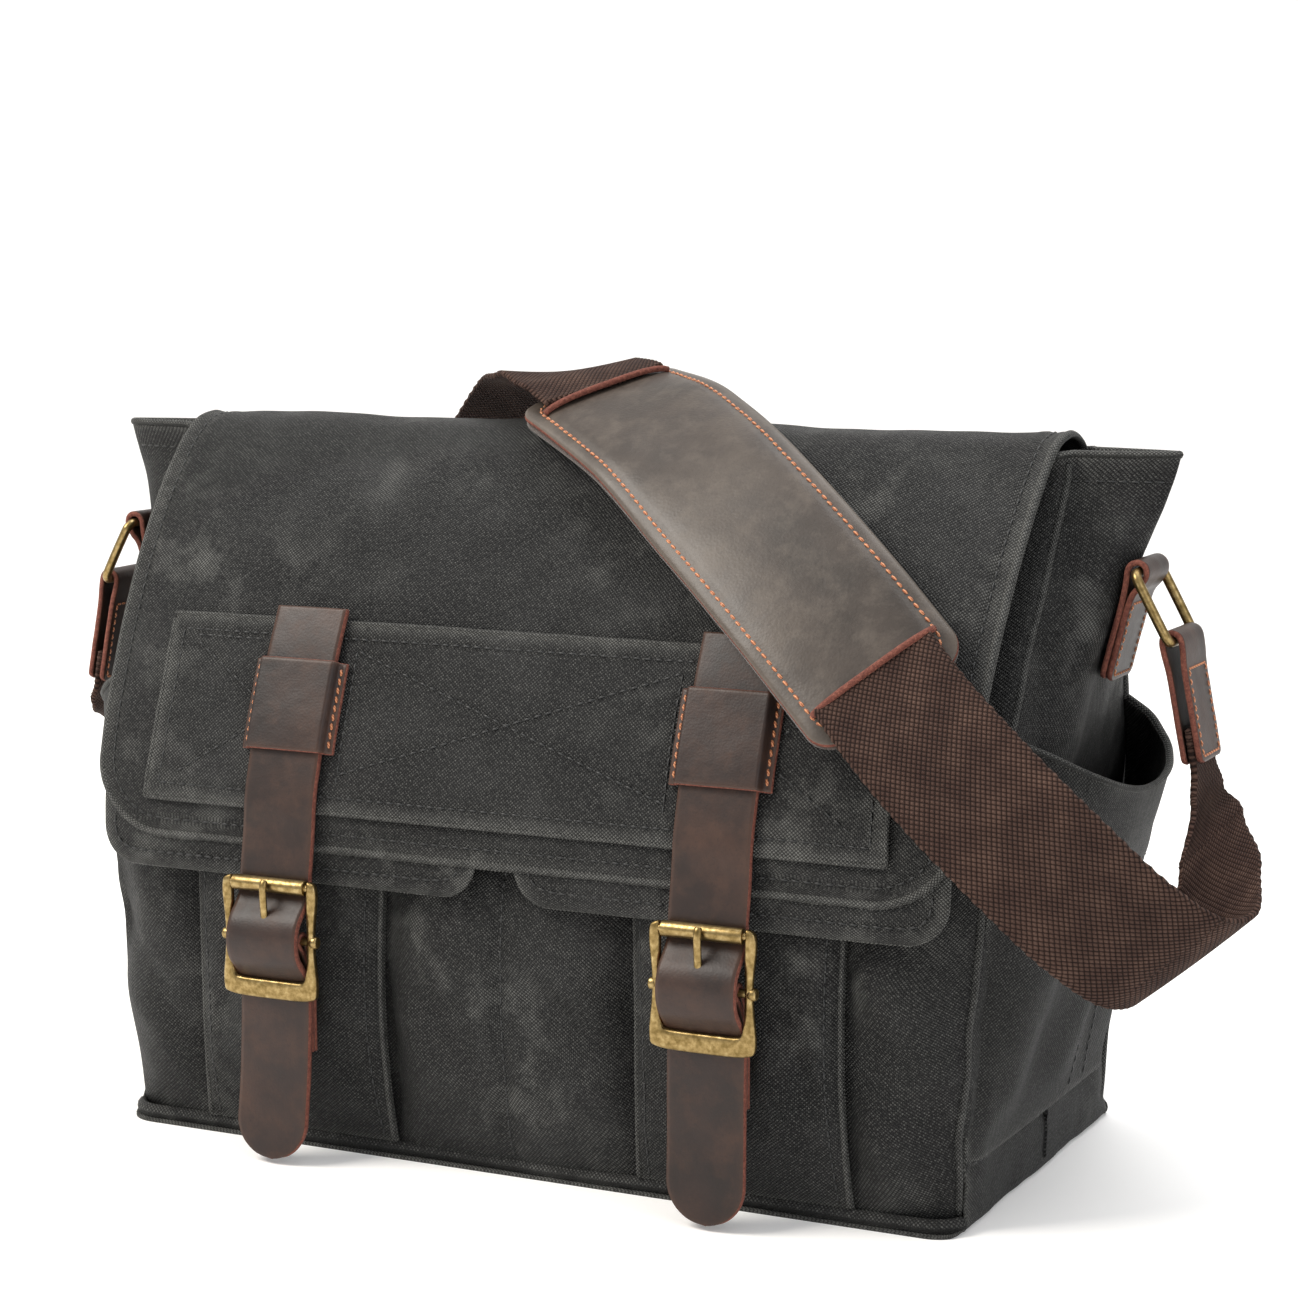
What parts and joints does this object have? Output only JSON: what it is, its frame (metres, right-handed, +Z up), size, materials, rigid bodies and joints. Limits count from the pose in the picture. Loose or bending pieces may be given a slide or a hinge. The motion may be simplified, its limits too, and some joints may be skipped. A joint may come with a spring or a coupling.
{
  "type": "messenger bag",
  "caption": "Waxed canvas shoulder bag with a full front flap, two buckled leather straps, front and side pockets and a padded webbing strap.",
  "frame": {"origin": "centre of the base panel's underside, on the surface the bag stands on", "axes": "+X to the wearer-facing right of the front, +Y from the front to the back, +Z up"},
  "size_m": [0.5359, 0.2446, 0.296],
  "materials": {
    "waxed_canvas": "waxed cotton canvas, matt, charcoal",
    "plain_canvas": "waxed cotton canvas with the weave showing",
    "strap_leather": "oiled dark brown leather with raw red-brown edges",
    "pad_leather": "waxed pull-up leather, satin",
    "pad_felt": "dense brown felt",
    "cotton_webbing": "coarse chocolate cotton webbing",
    "antique_brass": "antique brass, satin",
    "base_board": "stiff sheet, hidden inside"
  },
  "bodies": {
    "bag": {"base_panel": "waxed_canvas", "base_board": "base_board", "front_panel": "waxed_canvas", "back_panel": "waxed_canvas", "gusset_left": "plain_canvas", "side_pocket_left": "plain_canvas", "front_pocket_left": "waxed_canvas", "ring_tab_left": "strap_leather", "snap_base_left": "antique_brass", "gusset_right": "plain_canvas", "side_pocket_right": "plain_canvas", "front_pocket_right": "waxed_canvas", "ring_tab_right": "strap_leather", "snap_base_right": "antique_brass", "webbing_front": "cotton_webbing", "webbing_back": "cotton_webbing"},
    "flap_body": {"flap": "waxed_canvas", "flap_patch": "waxed_canvas", "strap_left": "strap_leather", "keeper_left": "strap_leather", "buckle_frame_left": "antique_brass", "buckle_chape_left": "strap_leather", "snap_cap_left": "antique_brass", "strap_right": "strap_leather", "keeper_right": "strap_leather", "buckle_frame_right": "antique_brass", "buckle_chape_right": "strap_leather", "snap_cap_right": "antique_brass"},
    "pad_body": {"pad_cover": "pad_leather", "pad_base": "pad_felt", "webbing_middle": "cotton_webbing"},
    "pocket_flap_left_body": {"pocket_flap_left": "waxed_canvas"},
    "roller_left_body": {"buckle_roller_left": "antique_brass"},
    "prong_left_body": {"buckle_prong_left": "antique_brass"},
    "ring_left_body": {"ring_left": "antique_brass"},
    "strap_end_left_body": {"strap_end_left": "strap_leather"},
    "pocket_flap_right_body": {"pocket_flap_right": "waxed_canvas"},
    "roller_right_body": {"buckle_roller_right": "antique_brass"},
    "prong_right_body": {"buckle_prong_right": "antique_brass"},
    "ring_right_body": {"ring_right": "antique_brass"},
    "strap_end_right_body": {"strap_end_right": "strap_leather"}
  },
  "joints": [
    {"name": "flap_hinge", "type": "hinge", "parent": "bag", "child": "flap_body", "pos_m": [0, 0.013, 0.261], "axis": [-1, 0, 0], "range_deg": [0, 100], "deforming": ["webbing_front", "webbing_back"]},
    {"name": "pad_slide", "type": "slide", "parent": "flap_body", "child": "pad_body", "axis": [0.77, -0.439, -0.463], "range_m": [-0.003, 0.009], "deforming": ["webbing_front", "webbing_back"]},
    {"name": "pocket_flap_left_hinge", "type": "hinge", "parent": "bag", "child": "pocket_flap_left_body", "pos_m": [-0.09, -0.0862, 0.15], "axis": [-1, 0, 0], "range_deg": [0, 50]},
    {"name": "roller_left_spin", "type": "hinge", "parent": "flap_body", "child": "roller_left_body", "pos_m": [-0.088, -0.1145, 0.106], "axis": [1, 0, 0], "continuous": true},
    {"name": "prong_left_hinge", "type": "hinge", "parent": "flap_body", "child": "prong_left_body", "pos_m": [-0.088, -0.1145, 0.086], "axis": [1, 0, 0], "range_deg": [0, 18]},
    {"name": "ring_left_swing", "type": "hinge", "parent": "bag", "child": "ring_left_body", "pos_m": [-0.211, -0.009, 0.227], "axis": [0, 1, 0], "range_deg": [-6, 22], "deforming": ["webbing_back"]},
    {"name": "strap_end_left_swing", "type": "hinge", "parent": "ring_left_body", "child": "strap_end_left_body", "pos_m": [-0.224, -0.009, 0.203], "axis": [0, 1, 0], "range_deg": [-8, 22], "deforming": ["webbing_back"]},
    {"name": "pocket_flap_right_hinge", "type": "hinge", "parent": "bag", "child": "pocket_flap_right_body", "pos_m": [0.09, -0.0862, 0.15], "axis": [-1, 0, 0], "range_deg": [0, 50]},
    {"name": "roller_right_spin", "type": "hinge", "parent": "flap_body", "child": "roller_right_body", "pos_m": [0.088, -0.1145, 0.106], "axis": [1, 0, 0], "continuous": true},
    {"name": "prong_right_hinge", "type": "hinge", "parent": "flap_body", "child": "prong_right_body", "pos_m": [0.088, -0.1145, 0.086], "axis": [1, 0, 0], "range_deg": [0, 18]},
    {"name": "ring_right_swing", "type": "hinge", "parent": "bag", "child": "ring_right_body", "pos_m": [0.211, -0.009, 0.227], "axis": [0, -1, 0], "range_deg": [-6, 22], "deforming": ["webbing_front"]},
    {"name": "strap_end_right_swing", "type": "hinge", "parent": "ring_right_body", "child": "strap_end_right_body", "pos_m": [0.224, -0.009, 0.203], "axis": [0, -1, 0], "range_deg": [-8, 22], "deforming": ["webbing_front"]}
  ],
  "couplings": [
    {"joint": "pocket_flap_left_hinge", "follows": "flap_hinge", "ratio": 0.5},
    {"joint": "pocket_flap_right_hinge", "follows": "flap_hinge", "ratio": 0.5}
  ]
}
